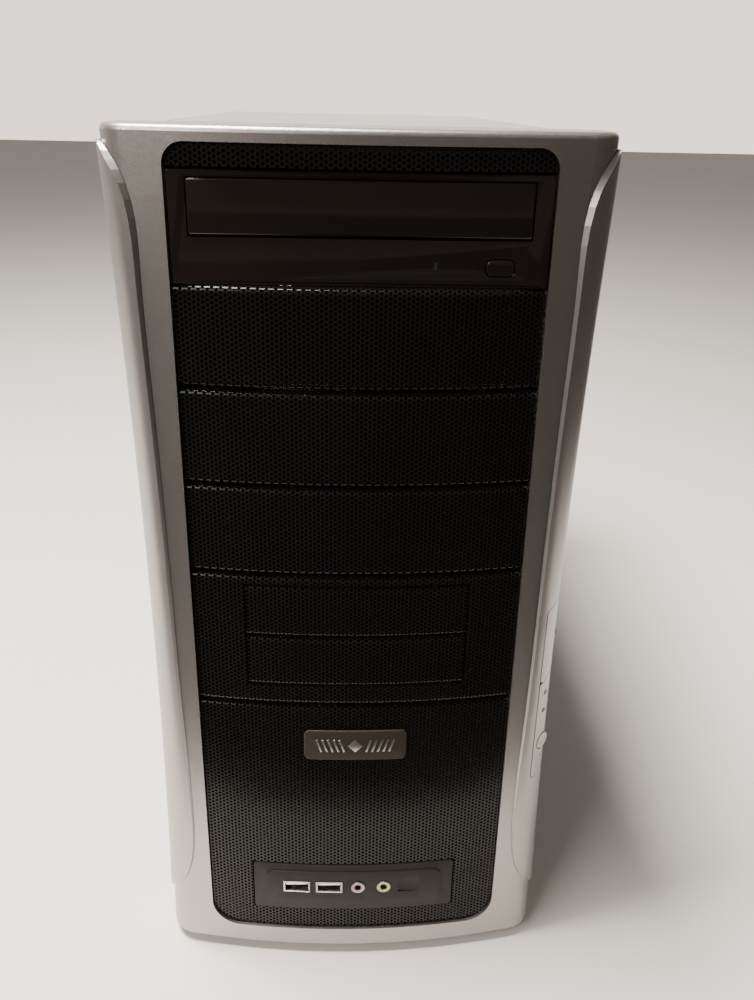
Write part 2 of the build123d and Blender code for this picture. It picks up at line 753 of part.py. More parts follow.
def build_chassis():
    keep("chassis_base", pan((chassis_low, floor), (floor, floor + flange)))
    keep("chassis_roof", pan((ceiling, chassis_top), (ceiling - flange, ceiling)))
    keep("chassis_front_wall", end_wall(
        front_wall_outline(), (chassis_front, chassis_front + sheet),
        (chassis_front + sheet, chassis_front + sheet + flange - 1),
    ))
    keep("chassis_rear_wall", end_wall(
        rear_wall_outline(), (rear_face - sheet, rear_face),
        (rear_face - sheet - flange + 1, rear_face - sheet),
    ))
    for name, side, vented in (("left", -1, True), ("right", 1, False)):
        keep(f"{name}_side_panel", side_panel(side, vented))
        keep(f"{name}_thumbscrews", *[thumbscrew(side * x, z) for x, z in thumbscrew_places()])
    feet = []
    foot_y = (chassis_front + foot_inset[1], rear_face - foot_inset[1])
    for x in (-half + foot_inset[0] + foot_radius, half - foot_inset[0] - foot_radius):
        for y in foot_y:
            foot = rod((x, y, 0), (x, y, foot_height), foot_radius)
            feet.append(chamfer(foot.edges().sort_by(Axis.Z)[0], 1.5))
    keep("feet", *feet)
    # cage for the wide drives, hung from the roof
    inside = drive_body_size[0] / 2 + cage_gap
    y = (chassis_front + sheet, chassis_front + sheet + cage_length)
    cage = block((-inside - sheet, inside + sheet), y, (bays_low - sheet, ceiling))
    cage -= block((-inside, inside), (y[0] - 1, y[1] + 1), (bays_low, ceiling + 1))
    screws = []
    for screw_y in (y[0] + 20, y[0] + 100):
        for side in (-1, 1):
            hole = ((side * (inside - 3), screw_y, drive_body_low + 21), (side * (inside + 2.4), screw_y, drive_body_low + 21))
            cage -= rod(*hole, screw_radius + slide_gap)
            head = ((side * (inside + sheet), screw_y, drive_body_low + 21), (side * (inside + sheet + 2), screw_y, drive_body_low + 21))
            screws.append(rod(*head, 2.9))
    # narrower cage under it for the hard disk
    disk_inside = disk_size[0] / 2 + cage_gap
    disk_cage = block((-disk_inside - sheet, disk_inside + sheet), y, (disk_cage_low, bays_low - sheet))
    disk_cage -= block((-disk_inside, disk_inside), (y[0] - 1, y[1] + 1), (disk_cage_low + sheet, bays_low))
    keep("drive_cages", cage, disk_cage)
    disk_z = disk_cage_low + disk_rise
    disk = block(about(0, disk_size[0]), (y[0] + 8, y[0] + 8 + disk_size[1] - 12), (disk_z, disk_z + disk_size[2]))
    keep("hard_disk", chamfer(disk.edges().group_by(Axis.Z)[-1], 1.0))
    for screw_y in (y[0] + 40, y[0] + 100):
        for side in (-1, 1):
            x = side * (disk_inside + sheet)
            screws.append(rod((x, screw_y, disk_z + 6), (x + side * 2, screw_y, disk_z + 6), 2.9))
    keep("cage_screws", *screws)


# ---- fans ------------------------------------------------------------------------------------
def fan_frame(size, depth):
    """Square frame with a round duct, a motor hub and four struts; it blows along +Z."""
    duct = size / 2 - 1.5
    frame = Box(size, size, depth) - Cylinder(duct, depth + 2)
    hub = size * 0.19
    strut_z = depth / 2 - 1.5
    centre = Pos(0, 0, strut_z) * Cylinder(hub, 3)
    for turn in range(4):
        strut = Pos((duct + hub) / 2, 0, strut_z) * Box(duct - hub + 4, 3, 3)
        centre += Rot(0, 0, 45 + 90 * turn) * strut
    frame = frame + centre - Pos(0, 0, strut_z) * Cylinder(shaft_radius + running_gap, 10)
    holes = size / 2 - 5
    for x in (-holes, holes):
        for y in (-holes, holes):
            frame -= Pos(x, y, 0) * Cylinder(2.2, depth + 2)
    return frame


def fan_rotor(size, depth):
    """Hub, swept blades and the shaft that runs in the frame's hub."""
    tip = size / 2 - 3.0
    hub = size * 0.19
    length = depth - 6
    rotor = Pos(0, 0, -1.5) * Cylinder(hub, length)
    blade = Box(tip - hub + 2, 1.4, length * 1.25)
    ring = Pos(0, 0, -1.5) * Cylinder(tip, length - 1)
    for turn in range(fan_blades):
        lean = Pos((tip + hub) / 2, 0, -1.5) * Rot(42, 0, 0) * blade
        rotor += Rot(0, 0, 360 / fan_blades * turn) * lean & ring
    shaft = Pos(0, 0, depth / 2 - 4) * Cylinder(shaft_radius, 7)
    return rotor + shaft


def build_fan(name, place, size, depth):
    frames.append(place * fan_frame(size, depth))
    keep(f"{name}_rotor", place * fan_rotor(size, depth))


def build_rear_fan():
    x, z = rear_fan_place()
    place = Pos(x, rear_face - sheet - fan_depth / 2, z) * Rot(-90, 0, 0)
    build_fan("rear_fan", place, rear_fan_size, fan_depth)


# ---- power supply ----------------------------------------------------------------------------
def build_power_supply():
    wide, length, high = psu_size
    x, y, z = about(psu_offset, wide), (psu_front, psu_front + length), (psu_low, psu_low + high)
    case = block(x, y, z)
    case -= block((x[0] + 1, x[1] - 1), (y[0] + 1, y[1] - 1), (z[0] + 1, z[1] - 1))
    middle_z = (psu_low + ceiling) / 2
    fan_x = psu_offset + psu_fan_offset
    case -= rod((fan_x, y[1] - 3, middle_z), (fan_x, y[1] + 3, middle_z), psu_fan_size / 2 - 3)
    socket_x = psu_offset + psu_socket_offset
    inlet = rounded(about(socket_x, psu_inlet_size[0]), about(middle_z + 18, psu_inlet_size[1]), 2.5)
    rocker_z = middle_z - 16
    rocker_hole = rect(about(socket_x, psu_switch_size[1]), about(rocker_z, psu_switch_size[0]))
    case -= slab(inlet, y[1] - 3, y[1] + 3)
    case -= slab(rocker_hole, y[1] - 3, y[1] + 3)
    for slot in range(9):
        case -= block(about(psu_offset - 48 + 12 * slot, 4), (y[0] - 1, y[0] + 2), (z[0] + 12, z[1] - 12))
    keep("power_supply_case", case)
    # wire guard over the fan
    guard_y = y[1] + 1.0
    rings = [
        Pos(fan_x, guard_y, middle_z) * Rot(90, 0, 0) * Torus(radius, 0.8)
        for radius in (9, 18, 27, 36)
    ]
    spokes = [
        rod(
            (fan_x + 8 * math.cos(angle), guard_y, middle_z + 8 * math.sin(angle)),
            (fan_x + 43 * math.cos(angle), guard_y, middle_z + 43 * math.sin(angle)), 0.8,
        )
        for angle in [math.radians(45 + 90 * turn) for turn in range(4)]
    ]
    guard = rings[0]
    for piece in rings[1:] + spokes:
        guard = guard + piece
    keep("power_supply_guard", guard)
    place = Pos(fan_x, y[1] - 1 - fan_depth / 2, middle_z) * Rot(-90, 0, 0)
    build_fan("power_supply_fan", place, psu_fan_size, fan_depth)
    # mains inlet with its three pins
    outer = slab(inlet, y[1] - 18, y[1] + 1.2)
    well = rounded(about(socket_x, psu_inlet_size[0] - 3), about(middle_z + 18, psu_inlet_size[1] - 3), 2.0)
    inlet_solid = outer - slab(well, y[1] - 15, y[1] + 3)
    for dx, dz in ((-7, -2.5), (0, 2.5), (7, -2.5)):
        inlet_solid += block(about(socket_x + dx, 2), (y[1] - 16, y[1] - 3), about(middle_z + 18 + dz, 4))
    keep("mains_inlet", inlet_solid)
    # rocker, shallow vee in side view, turning about an axis across the tower
    depth, tall = 9.0, psu_switch_size[0] - 2 * slide_gap - 1.0
    rocker = Pos(socket_x, y[1] - 1.2, rocker_z) * Box(psu_switch_size[1] - 1.0, depth, tall)
    tilt = psu_switch_angle / 2
    rocker = Pos(socket_x, y[1] - 1.2, rocker_z) * Rot(tilt, 0, 0) * Pos(-socket_x, 1.2 - y[1], -rocker_z) * rocker
    keep("power_switch_rocker", rocker & block((0, 200), (y[1] - 6, y[1] + 4), (rocker_z - 20, rocker_z + 20)))
    # circuit board with its heat sinks, transformer and large capacitors
    board_z = z[0] + 6
    inner_y = (y[0] + 12, y[1] - fan_depth - 6)
    pieces = [block((x[0] + 6, x[1] - 6), inner_y, (board_z, board_z + board_thickness))]
    deck = board_z + board_thickness
    for sink_x in (psu_offset - 30, psu_offset + 34):
        pieces.append(block(about(sink_x, 4), (inner_y[0] + 8, inner_y[1] - 8), (deck, deck + 58)))
    pieces.append(block(about(psu_offset + 2, 34), about(sum(inner_y) / 2, 38), (deck, deck + 34)))
    for can_y in (inner_y[0] + 22, inner_y[0] + 50):
        pieces.append(rod((psu_offset + 54, can_y, deck), (psu_offset + 54, can_y, deck + 36), 11))
    keep("power_supply_board", *pieces)


# ---- mainboard and what is on it -------------------------------------------------------------
def build_boards():
    y = (board_back - board_size[0], board_back)
    tray_y = (y[0] - 20, rear_face - sheet - flange)
    tray = block((tray_plane, tray_plane + sheet), tray_y, (floor, board_high + 4))
    keep("mainboard", block((board_face, board_face + board_thickness), y, (board_low, board_high)))
    for place_y in (y[0] + 16, sum(y) / 2 + 15, y[1] - 16):
        for z in (board_low + 16, board_low + 150, board_high - 10):
            start = (board_face + board_thickness, place_y, z)
            tray += rod(start, (tray_plane, place_y, z), standoff_radius)
    keep("board_tray", tray)
    # sockets for cards, memory and power
    sockets = []
    for number in range(slot_count):
        z = first_slot_height + number * slot_pitch
        sockets.append(block((board_face - 11, board_face), (y[1] - 145, y[1] - 60), about(z, 8)))
    memory_y = [y[0] + 62 + 11 * i for i in range(4)]
    memory_z = (board_high - 8 - memory_size[0], board_high - 8)
    for place in memory_y:
        sockets.append(block((board_face - 7, board_face), about(place, 7), memory_z))
    sockets.append(block((board_face - 12, board_face), (y[0] + 6, y[0] + 16), (board_low + 190, board_low + 242)))
    keep("board_sockets", *sockets)
    keep("memory_modules", *[
        block((board_face - 7 - memory_size[1], board_face - 7), about(place, memory_size[2]),
              (memory_z[0] + 2, memory_z[1] - 2))
        for place in memory_y[::2]
    ])
    chipset_y = y[0] + 50
    chipset_z = about(board_low + 140, 34)
    chipset = block((board_face - 8, board_face), about(chipset_y, 34), chipset_z)
    for fin in range(8):
        place = chipset_y - 15.5 + fin * 31 / 7
        chipset += block((board_face - 24, board_face - 8), about(place, 1.4), chipset_z)
    # processor cooler: base, fins, and a fan that blows towards the board
    cy, cz = cooler_place
    base_x = (board_face - cooler_base, board_face)
    cooler = block(base_x, about(cy, cooler_size), about(cz, cooler_size))
    pitch = (cooler_size - cooler_fin) / (cooler_fin_count - 1)
    for fin in range(cooler_fin_count):
        place = cy - cooler_size / 2 + cooler_fin / 2 + fin * pitch
        cooler += block((base_x[0] - cooler_fin_height, base_x[0]), about(place, cooler_fin), about(cz, cooler_size))
    keep("board_heatsinks", cooler, chipset)
    fan_x = base_x[0] - cooler_fin_height - cooler_fan_depth / 2
    build_fan("processor_fan", Pos(fan_x, cy, cz) * Rot(0, -90, 0), cooler_size, cooler_fan_depth)
    # ports at the back edge and the thin shield round them
    ports, shield = [], io_window()
    for x, z in port_rows():
        port = block(x, (board_back - 18, rear_face + 0.6), z)
        hollow = block((x[0] + 1.5, x[1] - 1.5), (rear_face - 8, rear_face + 2), (z[0] + 1.5, z[1] - 1.5))
        ports.append(port - hollow)
        shield -= rect((x[0] - fit_gap, x[1] + fit_gap), (z[0] - fit_gap, z[1] + fit_gap))
    keep("rear_ports", *ports)
    keep("port_shield", slab(shield, rear_face - sheet / 2, rear_face))
    # slot covers, and a graphics card in one of the slots
    wide, high, thick = bracket_size
    bracket_x = (slot_right() - slot_window[0] / 2 - wide / 2, slot_right() - slot_window[0] / 2 + wide / 2 - 6)
    bracket_y = (rear_face - sheet - thick, rear_face - sheet)
    covers = []
    for number in range(slot_count):
        z = about(first_slot_height + number * slot_pitch, high)
        covers.append(block(bracket_x, bracket_y, z))
    keep("slot_covers", *covers)
    card_x = (board_face - 4 - card_size[0], board_face - 11)
    card_y = (bracket_y[0] - card_size[1], bracket_y[0])
    card = block(card_x, card_y, (card_height, card_height + board_thickness))
    edge = block((card_x[1], board_face - 4), (y[1] - 140, y[1] - 65), (card_height, card_height + board_thickness))
    keep("graphics_card", card + edge - block((board_face - 11, board_face), (y[1] - 145, y[1] - 60), about(card_height, 8)))
    # heat sink on the card's lower side, with a ring of clearance for its fan
    sink_x, sink_y = sum(card_x) / 2 + 4, sum(card_y) / 2
    sink = block(about(sink_x, 62), about(sink_y, 62), (card_height - 14, card_height))
    sink -= rod((sink_x, sink_y, card_height - 20), (sink_x, sink_y, card_height - 4), 25)
    post = rod((sink_x, sink_y, card_height - 4), (sink_x, sink_y, card_height - 6), 6)
    sink = sink + post - rod((sink_x, sink_y, card_height - 7), (sink_x, sink_y, card_height - 2), shaft_radius + running_gap)
    keep("graphics_heatsink", sink)
    rotor = rod((sink_x, sink_y, card_height - 13), (sink_x, sink_y, card_height - 7), 9)
    ring = rod((sink_x, sink_y, card_height - 13), (sink_x, sink_y, card_height - 7), 23)
    for turn in range(fan_blades):
        blade = Pos(15.5, 0, 0) * Rot(40, 0, 0) * Box(17, 1.0, 9)
        placed = Pos(sink_x, sink_y, card_height - 10) * Rot(0, 0, 360 / fan_blades * turn) * blade
        rotor += placed & ring
    rotor += rod((sink_x, sink_y, card_height - 8), (sink_x, sink_y, card_height - 3), shaft_radius)
    keep("graphics_fan_rotor", rotor)


def write_all():
    os.makedirs("parts", exist_ok=True)
    for name, shape in parts.items():
        export_step(shape, f"parts/{name}.step")


build_bezel_and_controls()
build_mesh_front()
build_port_panel()
build_drive()
build_chassis()
build_rear_fan()
build_power_supply()
build_boards()
keep("fan_frames", *frames)
write_all()
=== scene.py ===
import json
import math
import bpy
import bmesh
from mathutils import Matrix, Vector


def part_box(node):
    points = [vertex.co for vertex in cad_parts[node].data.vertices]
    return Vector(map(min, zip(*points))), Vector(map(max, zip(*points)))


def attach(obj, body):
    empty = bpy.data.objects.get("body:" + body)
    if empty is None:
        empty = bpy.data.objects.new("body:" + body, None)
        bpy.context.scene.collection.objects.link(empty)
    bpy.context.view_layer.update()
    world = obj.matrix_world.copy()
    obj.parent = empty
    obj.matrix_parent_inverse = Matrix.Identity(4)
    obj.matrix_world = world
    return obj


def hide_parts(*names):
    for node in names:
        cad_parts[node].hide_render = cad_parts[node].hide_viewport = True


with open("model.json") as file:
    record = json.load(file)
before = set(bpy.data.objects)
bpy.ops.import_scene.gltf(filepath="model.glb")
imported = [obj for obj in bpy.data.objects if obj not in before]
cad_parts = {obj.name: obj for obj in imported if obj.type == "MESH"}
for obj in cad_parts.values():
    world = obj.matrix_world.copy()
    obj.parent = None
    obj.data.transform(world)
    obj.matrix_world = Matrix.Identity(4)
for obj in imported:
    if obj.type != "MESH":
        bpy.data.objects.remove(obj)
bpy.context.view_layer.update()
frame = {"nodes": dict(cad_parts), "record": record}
nodes = frame["nodes"]
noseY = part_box("front_bezel")[0][1]  # foremost line of the bezel
print("frame loaded:", len(nodes), "nodes")


class Val:
    # a shader socket that can be used in sums
    def __init__(self, tree, socket):
        self.tree = tree
        self.socket = socket

    def math(self, operation, *others, clamp=False):
        node = self.tree.nodes.new("ShaderNodeMath")
        node.operation = operation
        node.use_clamp = clamp
        for index, value in enumerate((self,) + others):
            if isinstance(value, Val):
                self.tree.links.new(value.socket, node.inputs[index])
            else:
                node.inputs[index].default_value = value
        return Val(self.tree, node.outputs[0])

    def flipped(self, operation, other):
        node = self.tree.nodes.new("ShaderNodeMath")
        node.operation = operation
        node.inputs[0].default_value = other
        self.tree.links.new(self.socket, node.inputs[1])
        return Val(self.tree, node.outputs[0])

    def __add__(self, other):
        return self.math("ADD", other)

    def __radd__(self, other):
        return self.math("ADD", other)

    def __sub__(self, other):
        return self.math("SUBTRACT", other)

    def __rsub__(self, other):
        return self.flipped("SUBTRACT", other)

    def __mul__(self, other):
        return self.math("MULTIPLY", other)

    def clamp(self):
        return self.math("ADD", 0.0, clamp=True)


class Finish:
    # one material round a Principled shader
    def __init__(self, name, **fixed):
        self.material = bpy.data.materials.new(name)
        self.material.use_nodes = True
        self.tree = self.material.node_tree
        self.shader = self.tree.nodes["Principled BSDF"]
        for socket, value in fixed.items():
            self.shader.inputs[socket.replace("_", " ")].default_value = value

    def node(self, kind, settings=None, inputs=None, output=0):
        made = self.tree.nodes.new(kind)
        for key, value in (settings or {}).items():
            setattr(made, key, value)
        for key, value in (inputs or {}).items():
            if isinstance(value, Val):
                self.tree.links.new(value.socket, made.inputs[key])
            else:
                made.inputs[key].default_value = value
        return Val(self.tree, made.outputs[output])

    def place(self):
        return self.node("ShaderNodeTexCoord", output="Object")

    def axes(self):
        split = self.node("ShaderNodeSeparateXYZ", inputs={"Vector": self.place()})
        outputs = split.socket.node.outputs
        return [Val(self.tree, outputs[index]) for index in range(3)]

    def noise(self, scale, detail=3.0, roughness=0.55, vector=None):
        inputs = {"Vector": vector or self.place(), "Scale": scale}
        inputs.update({"Detail": detail, "Roughness": roughness})
        return self.node("ShaderNodeTexNoise", inputs=inputs, output="Fac")

    def voronoi(self, scale, output="Distance"):
        inputs = {"Vector": self.place(), "Scale": scale}
        return self.node("ShaderNodeTexVoronoi", {"feature": "F1"}, inputs, output)

    def ramp(self, value, low, high):
        # nought below low, one above high, smooth between
        inputs = {"Value": value, "From Min": low, "From Max": high}
        return self.node("ShaderNodeMapRange", {"interpolation_type": "SMOOTHSTEP"}, inputs)

    def tint(self, factor, first, second):
        # one colour over to another
        inputs = {0: factor, 6: first if isinstance(first, Val) else (*first, 1.0)}
        inputs[7] = second if isinstance(second, Val) else (*second, 1.0)
        return self.node("ShaderNodeMix", {"data_type": "RGBA"}, inputs, 2)

    def bump(self, height, distance, strength=1.0, under=None):
        inputs = {"Height": height, "Distance": distance, "Strength": strength}
        if under:
            inputs["Normal"] = under
        return self.node("ShaderNodeBump", inputs=inputs)

    def feed(self, **values):
        for socket, value in values.items():
            self.tree.links.new(value.socket, self.shader.inputs[socket.replace("_", " ")])
        return self.material


silverSettings = {
    "deep": (0.34, 0.315, 0.295), "light": (0.42, 0.395, 0.375),
    "flake": 2600.0,  # metal flakes to the metre
    "cloud": 9.0,
}


def silverPaint():
    finish = Finish("silverPaint", Metallic=0.88, IOR=1.5)
    flake = finish.voronoi(silverSettings["flake"], "Color")
    flakeTone = finish.node("ShaderNodeSeparateColor", inputs={"Color": flake})
    cloud = finish.noise(silverSettings["cloud"], 4.0)
    dust = finish.ramp(finish.noise(70.0, 6.0, 0.7), 0.58, 0.8)
    tone = (flakeTone * 0.55 + cloud * 0.6).clamp()
    colour = finish.tint(tone, silverSettings["deep"], silverSettings["light"])
    colour = finish.tint(dust * 0.08, colour, (0.62, 0.6, 0.56))
    rough = 0.3 + cloud * 0.08 + dust * 0.1 + flakeTone * 0.05
    normal = finish.bump(flakeTone, 0.00002, 0.35)
    normal = finish.bump(finish.noise(380.0, 2.0), 0.00003, 0.3, normal)
    return finish.feed(Base_Color=colour, Roughness=rough, Normal=normal)


def blackMesh():
    finish = Finish("blackMesh", IOR=1.5, Specular_IOR_Level=0.22)
    cloud = finish.noise(30.0, 3.0)
    dust = finish.ramp(finish.noise(240.0, 5.0, 0.7), 0.6, 0.82)
    colour = finish.tint(cloud, (0.0085, 0.0075, 0.007), (0.0135, 0.0122, 0.0115))
    colour = finish.tint(dust * 0.12, colour, (0.14, 0.13, 0.12))
    rough = 0.17 + cloud * 0.08 + dust * 0.2
    normal = finish.bump(finish.noise(1500.0, 2.0), 0.00002, 0.4)
    return finish.feed(Base_Color=colour, Roughness=rough, Normal=normal)


def blackFoam():
    finish = Finish("blackFoam", IOR=1.4)
    cells = finish.voronoi(900.0)
    cloud = finish.noise(60.0, 4.0)
    colour = finish.tint(cells * cloud, (0.003, 0.003, 0.003), (0.012, 0.012, 0.011))
    normal = finish.bump(cells, 0.0004, 0.8)
    return finish.feed(Base_Color=colour, Roughness=0.85 + cloud * 0.1, Normal=normal)


def mouldedPlastic(name, dark, light, rough):
    finish = Finish(name, IOR=1.49, Specular_IOR_Level=0.14)
    cloud = finish.noise(24.0, 4.0)
    pits = finish.noise(1400.0, 2.0)
    dust = finish.ramp(finish.noise(130.0, 6.0, 0.7), 0.6, 0.8)
    colour = finish.tint(cloud, dark, light)
    colour = finish.tint(dust * 0.06, colour, (0.3, 0.28, 0.26))
    normal = finish.bump(pits, 0.00004, 0.5)
    rough = rough + cloud * 0.08 + dust * 0.12
    return finish.feed(Base_Color=colour, Roughness=rough, Normal=normal)


def glossBlack():
    finish = Finish("glossBlack", IOR=1.52, Coat_Roughness=0.03, Specular_IOR_Level=0.35)
    cloud = finish.noise(18.0, 3.0)
    speck = finish.ramp(finish.voronoi(420.0), 0.0, 0.09)
    wipe = finish.noise(60.0, 5.0, 0.7, stretched(finish, (1.0, 1.0, 9.0)))
    colour = finish.tint(cloud, (0.012, 0.009, 0.0075), (0.018, 0.014, 0.012))
    colour = finish.tint((1 - speck) * 0.25, colour, (0.12, 0.11, 0.1))
    rough = 0.07 + wipe * 0.07 + (1 - speck) * 0.3
    return finish.feed(
        Base_Color=colour, Roughness=rough, Coat_Weight=0.05 + cloud * 0.1,
        Normal=finish.bump(finish.noise(22.0, 1.0), 0.00006, 0.25),
    )


def stretched(finish, scale):
    return finish.node("ShaderNodeMapping", inputs={"Vector": finish.place(), "Scale": scale})


def platedMetal(name, dark, light, rough):
    finish = Finish(name, Metallic=1.0)
    rub = finish.noise(220.0, 4.0, 0.6, stretched(finish, (1.0, 6.0, 1.0)))
    stain = finish.ramp(finish.noise(90.0, 4.0), 0.45, 0.75)
    colour = finish.tint(stain, light, dark)
    normal = finish.bump(rub, 0.00003, 0.4)
    return finish.feed(Base_Color=colour, Roughness=rough + rub * 0.12 + stain * 0.08, Normal=normal)


def zincSheet():
    finish = Finish("zincSheet", Metallic=0.9)
    spangle = finish.voronoi(110.0, "Color")
    tone = finish.node("ShaderNodeSeparateColor", inputs={"Color": spangle})
    wear = finish.noise(35.0, 5.0, 0.65)
    colour = finish.tint((tone * 0.7 + wear * 0.3).clamp(), (0.25, 0.26, 0.27), (0.42, 0.43, 0.44))
    return finish.feed(
        Base_Color=colour, Roughness=0.3 + tone * 0.14 + wear * 0.12, Normal=finish.bump(tone, 0.00002, 0.4)
    )


def powderCoat(name="powderCoat", sheen=0.24, depth=0.00003):
    finish = Finish(name, IOR=1.48)
    peel = finish.noise(1100.0, 2.0)
    cloud = finish.noise(6.0, 4.0)
    scuff = finish.ramp(finish.noise(50.0, 6.0, 0.7, stretched(finish, (1.0, 1.0, 0.15))), 0.66, 0.8)
    colour = finish.tint(cloud, (0.018, 0.018, 0.019), (0.03, 0.03, 0.031))
    colour = finish.tint(scuff * 0.04, colour, (0.1, 0.1, 0.1))
    rough = sheen + cloud * 0.08 - scuff * 0.01
    return finish.feed(Base_Color=colour, Roughness=rough, Normal=finish.bump(peel, depth, 0.3))


def castMetal():
    finish = Finish("castMetal", Metallic=0.95)
    grain = finish.noise(700.0, 3.0)
    brush = finish.noise(140.0, 4.0, 0.6, stretched(finish, (12.0, 1.0, 1.0)))
    colour = finish.tint(brush, (0.5, 0.51, 0.53), (0.72, 0.73, 0.75))
    normal = finish.bump(grain, 0.00004, 0.4)
    return finish.feed(Base_Color=colour, Roughness=0.28 + brush * 0.2, Normal=normal)


def circuitBoard():
    finish = Finish("circuitBoard", IOR=1.5)
    x, y, z = finish.axes()
    lanes = finish.node("ShaderNodeTexBrick", {"offset": 0.37, "squash": 0.6}, {
        "Vector": finish.node("ShaderNodeCombineXYZ", inputs={"X": x + y, "Y": z}),
        "Scale": 60.0, "Mortar Size": 0.012, "Brick Width": 0.9, "Row Height": 0.11,
    }, "Fac")
    pads = finish.ramp(finish.voronoi(260.0), 0.16, 0.2)
    cloud = finish.noise(20.0)
    colour = finish.tint(lanes * 0.6, (0.012, 0.085, 0.04), (0.03, 0.16, 0.08))
    colour = finish.tint(1 - pads, colour, (0.6, 0.56, 0.44))
    return finish.feed(
        Base_Color=colour, Roughness=0.3 + cloud * 0.15, Metallic=(1 - pads) * 0.8,
        Normal=finish.bump(lanes, 0.00004, 0.5),
    )


def darkLens():
    finish = Finish("darkLens", IOR=1.5)
    ribs = finish.noise(1800.0, 1.0)
    colour = finish.tint(ribs, (0.02, 0.022, 0.02), (0.05, 0.055, 0.05))
    normal = finish.bump(ribs, 0.00002, 0.4)
    return finish.feed(Base_Color=colour, Roughness=0.12 + ribs * 0.1, Normal=normal)


def footRubber():
    finish = Finish("footRubber", IOR=1.45)
    grain = finish.noise(600.0, 4.0)
    dust = finish.ramp(finish.noise(60.0, 5.0), 0.5, 0.8)
    colour = finish.tint(dust * 0.4, (0.015, 0.015, 0.015), (0.08, 0.075, 0.07))
    normal = finish.bump(grain, 0.0001, 0.5)
    return finish.feed(Base_Color=colour, Roughness=0.75 + dust * 0.15, Normal=normal)


finishes = {
    "silver_paint": silverPaint(),
    "black_mesh": blackMesh(),
    "foam": blackFoam(),
    "charcoal_plastic": mouldedPlastic(
        "charcoalPlastic", (0.017, 0.0155, 0.0145), (0.024, 0.022, 0.021), 0.4,
    ),
    "bright_metal": platedMetal("nickelPlate", (0.55, 0.52, 0.48), (0.8, 0.78, 0.75), 0.2),
    "jack_metal": platedMetal("jackPlate", (0.26, 0.2, 0.18), (0.42, 0.34, 0.31), 0.3),
    "circuit_board": circuitBoard(),
    "gloss_black": glossBlack(),
    "lens": darkLens(),
    "zinc_steel": zincSheet(),
    "black_plastic": mouldedPlastic("blackPlastic", (0.012, 0.012, 0.012), (0.022, 0.022, 0.022), 0.45),
    "black_paint": powderCoat(),
    "cast_metal": castMetal(),
    "port_metal": platedMetal("portPlate", (0.12, 0.12, 0.12), (0.24, 0.24, 0.25), 0.3),
    "foot_rubber": footRubber(),
}
for entry in frame["record"]["subparts"]:
    mesh = nodes[entry["node"]].data
    mesh.materials.clear()
    mesh.materials.append(finishes[entry["material_slot"]])
greenPlate = platedMetal("greenJackPlate", (0.2, 0.25, 0.13), (0.36, 0.42, 0.25), 0.34)
nodes["microphone_jack"].data.materials[0] = greenPlate
nodes["chassis_roof"].data.materials[0] = powderCoat("roofCoat", 0.06, 0.000004)
badgeBrown = mouldedPlastic("badgeBrown", (0.044, 0.034, 0.027), (0.058, 0.046, 0.037), 0.34)
dullNickel = platedMetal("dullNickel", (0.26, 0.24, 0.22), (0.42, 0.4, 0.38), 0.3)
print("finishes made:", len(finishes))


def newPiece(name, shape, material, body="tower", standsFor=(), smooth=35.0):
    mesh = bpy.data.meshes.new(name)
    shape.to_mesh(mesh)
    shape.free()
    piece = bpy.data.objects.new(name, mesh)
    bpy.context.scene.collection.objects.link(piece)
    mesh.materials.append(material)
    mesh.shade_smooth()
    mesh.set_sharp_from_angle(angle=math.radians(smooth))
    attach(piece, body)
    if standsFor:
        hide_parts(*standsFor)
    return piece


bowRadius = 0.430


def bow(x):
    # how far the front has curved back at a distance from the middle
    return bowRadius - math.sqrt(bowRadius ** 2 - x ** 2)


meshSettings = {
    "pitch": 0.0021,  # hole to hole, up a column
    "hole": 0.00066,  # half across the corners of a hole
    "sheet": 0.0007,
    "roll": 0.0024,  # radius of the rolled edges
    "return": 0.0034,  # depth the sheet runs back past a rolled edge
    "gap": 0.0007,  # left round the small covers and the port panel
    "topCorner": 0.0078,
    "lowCorner": 0.0141,
}


def holedSheet(width, height):
    # flat field of ring-shaped cells, x across and z up, a little larger than asked
    pitch = meshSettings["pitch"]
    column = pitch * math.sqrt(3) / 2
    shape = bmesh.new()
    bmesh.ops.create_circle(shape, cap_ends=True, segments=6, radius=pitch / math.sqrt(3))
    land = pitch / 2 - meshSettings["hole"] * math.sqrt(3) / 2
    ring = bmesh.ops.inset_individual(shape, faces=shape.faces[:], thickness=land)["faces"]
    bmesh.ops.delete(shape, geom=[face for face in shape.faces if face not in ring], context="FACES_ONLY")
    bmesh.ops.rotate(shape, verts=shape.verts, matrix=Matrix.Rotation(math.radians(90), 3, "X"))
    bmesh.ops.rotate(shape, verts=shape.verts, matrix=Matrix.Rotation(math.radians(30), 3, "Y"))
    rows = math.ceil(height / pitch) + 2
    pairs = math.ceil(width / column / 2) + 1
    fill(shape, rows, Vector((0, 0, pitch)))
    second = bmesh.ops.duplicate(shape, geom=shape.faces[:] + shape.verts[:] + shape.edges[:])
    verts = [item for item in second["geom"] if isinstance(item, bmesh.types.BMVert)]
    bmesh.ops.translate(shape, verts=verts, vec=(column, 0, pitch / 2))
    fill(shape, pairs, Vector((2 * column, 0, 0)))
    bmesh.ops.remove_doubles(shape, verts=shape.verts, dist=2e-5)
    toMiddle = (-(pairs - 0.5) * column, 0, -(rows - 0.5) * pitch / 2)
    bmesh.ops.translate(shape, verts=shape.verts, vec=toMiddle)
    cutAlong(shape, -width / 2, width / 2, -height / 2, height / 2, True)
    return shape


